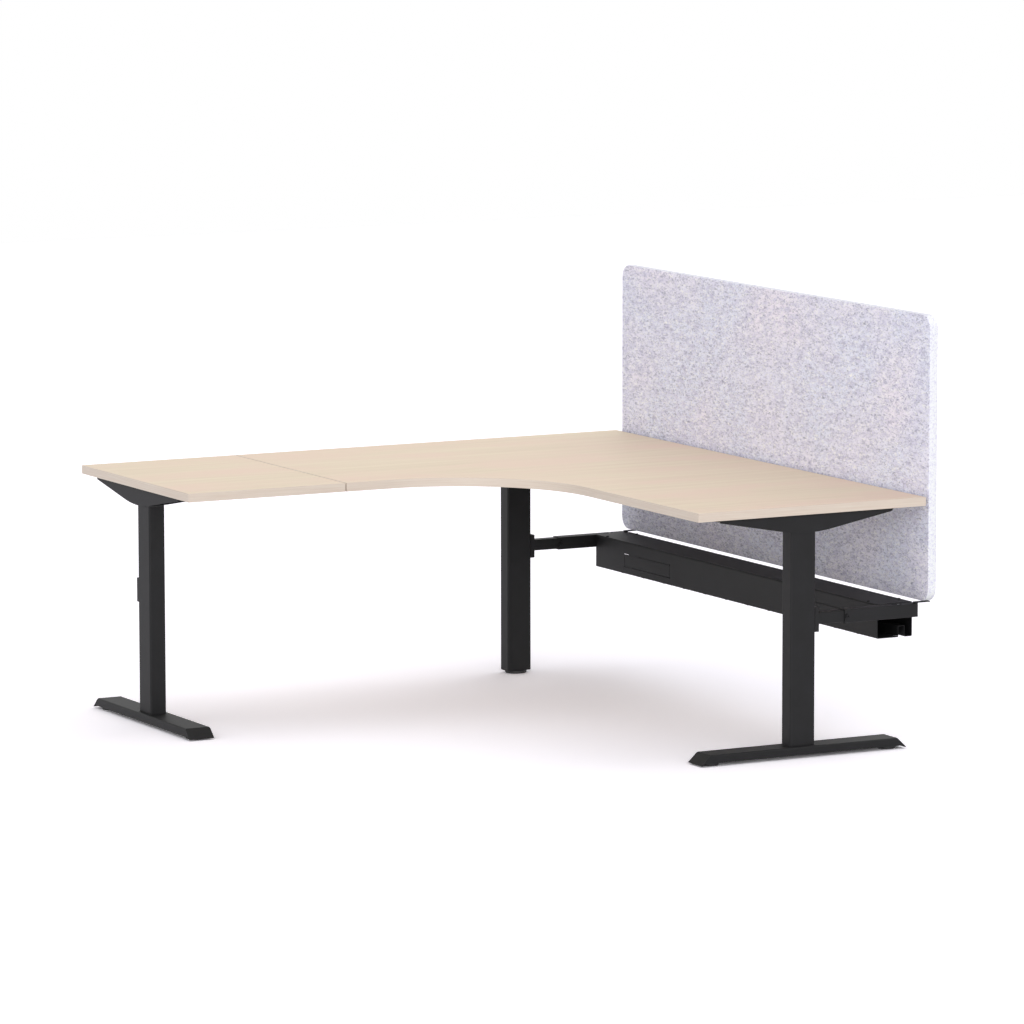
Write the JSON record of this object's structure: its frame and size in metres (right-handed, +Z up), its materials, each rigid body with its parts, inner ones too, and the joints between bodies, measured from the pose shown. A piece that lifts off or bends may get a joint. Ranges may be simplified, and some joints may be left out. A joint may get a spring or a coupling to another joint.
{
  "type": "screened corner workstation",
  "caption": "L-shaped sit-stand desk on three lifting columns, with a cable tray and a felt privacy screen carried behind one wing.",
  "frame": {"origin": "on the floor, under the middle of the whole object's bounding box", "axes": "+Z up; +X towards the screen behind the right wing; +Y towards the back edge of the left wing, so the hollow front corner faces -X and -Y"},
  "size_m": [1.837, 1.8, 1.2295],
  "materials": {
    "powder_coat": "fine satin black powder coat",
    "zinc_steel": "zinc plated",
    "black_plastic": "moulded black",
    "nut_plastic": "moulded off-white",
    "maple_board": "matt maple surface",
    "maple_edge": "matt edge band",
    "felt": "heathered pressed felt"
  },
  "bodies": {
    "base": {"foot_left": "powder_coat", "foot_right": "powder_coat", "foot_screws": "zinc_steel", "outer_tube_left": "powder_coat", "outer_tube_right": "powder_coat", "outer_tube_corner": "powder_coat", "guide_collars": "black_plastic", "nut_post_left": "zinc_steel", "nut_post_right": "zinc_steel", "nut_post_corner": "zinc_steel", "lift_nuts": "nut_plastic", "arm_socket_left": "powder_coat", "arm_socket_right": "powder_coat", "arm_socket_corner": "powder_coat", "socket_screws": "powder_coat", "grub_screws": "powder_coat", "arm_inner_right": "powder_coat", "arm_inner_corner": "powder_coat", "arm_stop_pins": "zinc_steel"},
    "top": {"worktop_main": "maple_board", "worktop_extension": "maple_board", "edge_band_main": "maple_edge", "edge_band_extension": "maple_edge", "seam_plates": "powder_coat", "seam_screws": "zinc_steel", "side_bracket_left": "powder_coat", "side_bracket_right": "powder_coat", "corner_bracket": "powder_coat", "inner_tube_left": "powder_coat", "inner_tube_right": "powder_coat", "inner_tube_corner": "powder_coat", "lower_guides": "black_plastic", "beam_main": "powder_coat", "beam_left": "powder_coat", "motor_left": "black_plastic", "motor_right": "black_plastic", "motor_corner": "black_plastic", "control_box": "black_plastic", "worktop_screws": "zinc_steel", "frame_screws": "zinc_steel"},
    "carriage": {"arm_outer_right": "powder_coat", "arm_outer_corner": "powder_coat", "arm_end_plugs": "black_plastic", "clamp_screws": "powder_coat", "tray_channel": "powder_coat", "tray_cover": "powder_coat", "tray_rail": "powder_coat", "tray_screws": "zinc_steel", "screen_brackets": "powder_coat", "screen_panel": "felt", "screen_screws": "zinc_steel"},
    "spindle_left": {"spindle_left": "zinc_steel"},
    "spindle_right": {"spindle_right": "zinc_steel"},
    "spindle_corner": {"spindle_corner": "zinc_steel"},
    "glide_left_front": {"glide_left_front": "black_plastic"},
    "glide_left_back": {"glide_left_back": "black_plastic"},
    "glide_right_front": {"glide_right_front": "black_plastic"},
    "glide_right_back": {"glide_right_back": "black_plastic"},
    "glide_corner": {"glide_corner": "black_plastic"}
  },
  "joints": [
    {"name": "lift", "type": "slide", "parent": "base", "child": "top", "axis": [0, 0, 1], "range_m": [0, 0.45]},
    {"name": "arm_reach", "type": "slide", "parent": "base", "child": "carriage", "axis": [1, 0, 0], "range_m": [-0.008, 0.02]},
    {"name": "spindle_left_turn", "type": "hinge", "parent": "top", "child": "spindle_left", "pos_m": [-0.8745, 0.51, 0.4], "axis": [0, 0, 1], "range_deg": [-5, 8105]},
    {"name": "spindle_right_turn", "type": "hinge", "parent": "top", "child": "spindle_right", "pos_m": [0.4915, -0.856, 0.4], "axis": [0, 0, 1], "range_deg": [-5, 8105]},
    {"name": "spindle_corner_turn", "type": "hinge", "parent": "top", "child": "spindle_corner", "pos_m": [0.4915, 0.828, 0.4], "axis": [0, 0, 1], "range_deg": [-5, 8105]},
    {"name": "glide_left_front_level", "type": "slide", "parent": "base", "child": "glide_left_front", "axis": [0, 0, -1], "range_m": [0, 0.008]},
    {"name": "glide_left_back_level", "type": "slide", "parent": "base", "child": "glide_left_back", "axis": [0, 0, -1], "range_m": [0, 0.008]},
    {"name": "glide_right_front_level", "type": "slide", "parent": "base", "child": "glide_right_front", "axis": [0, 0, -1], "range_m": [0, 0.008]},
    {"name": "glide_right_back_level", "type": "slide", "parent": "base", "child": "glide_right_back", "axis": [0, 0, -1], "range_m": [0, 0.008]},
    {"name": "glide_corner_level", "type": "slide", "parent": "base", "child": "glide_corner", "axis": [0, 0, -1], "range_m": [0, 0.008]}
  ],
  "couplings": [
    {"joint": "spindle_left_turn", "follows": "lift", "rad_per_m": 314.16},
    {"joint": "spindle_right_turn", "follows": "lift", "rad_per_m": 314.16},
    {"joint": "spindle_corner_turn", "follows": "lift", "rad_per_m": 314.16}
  ]
}
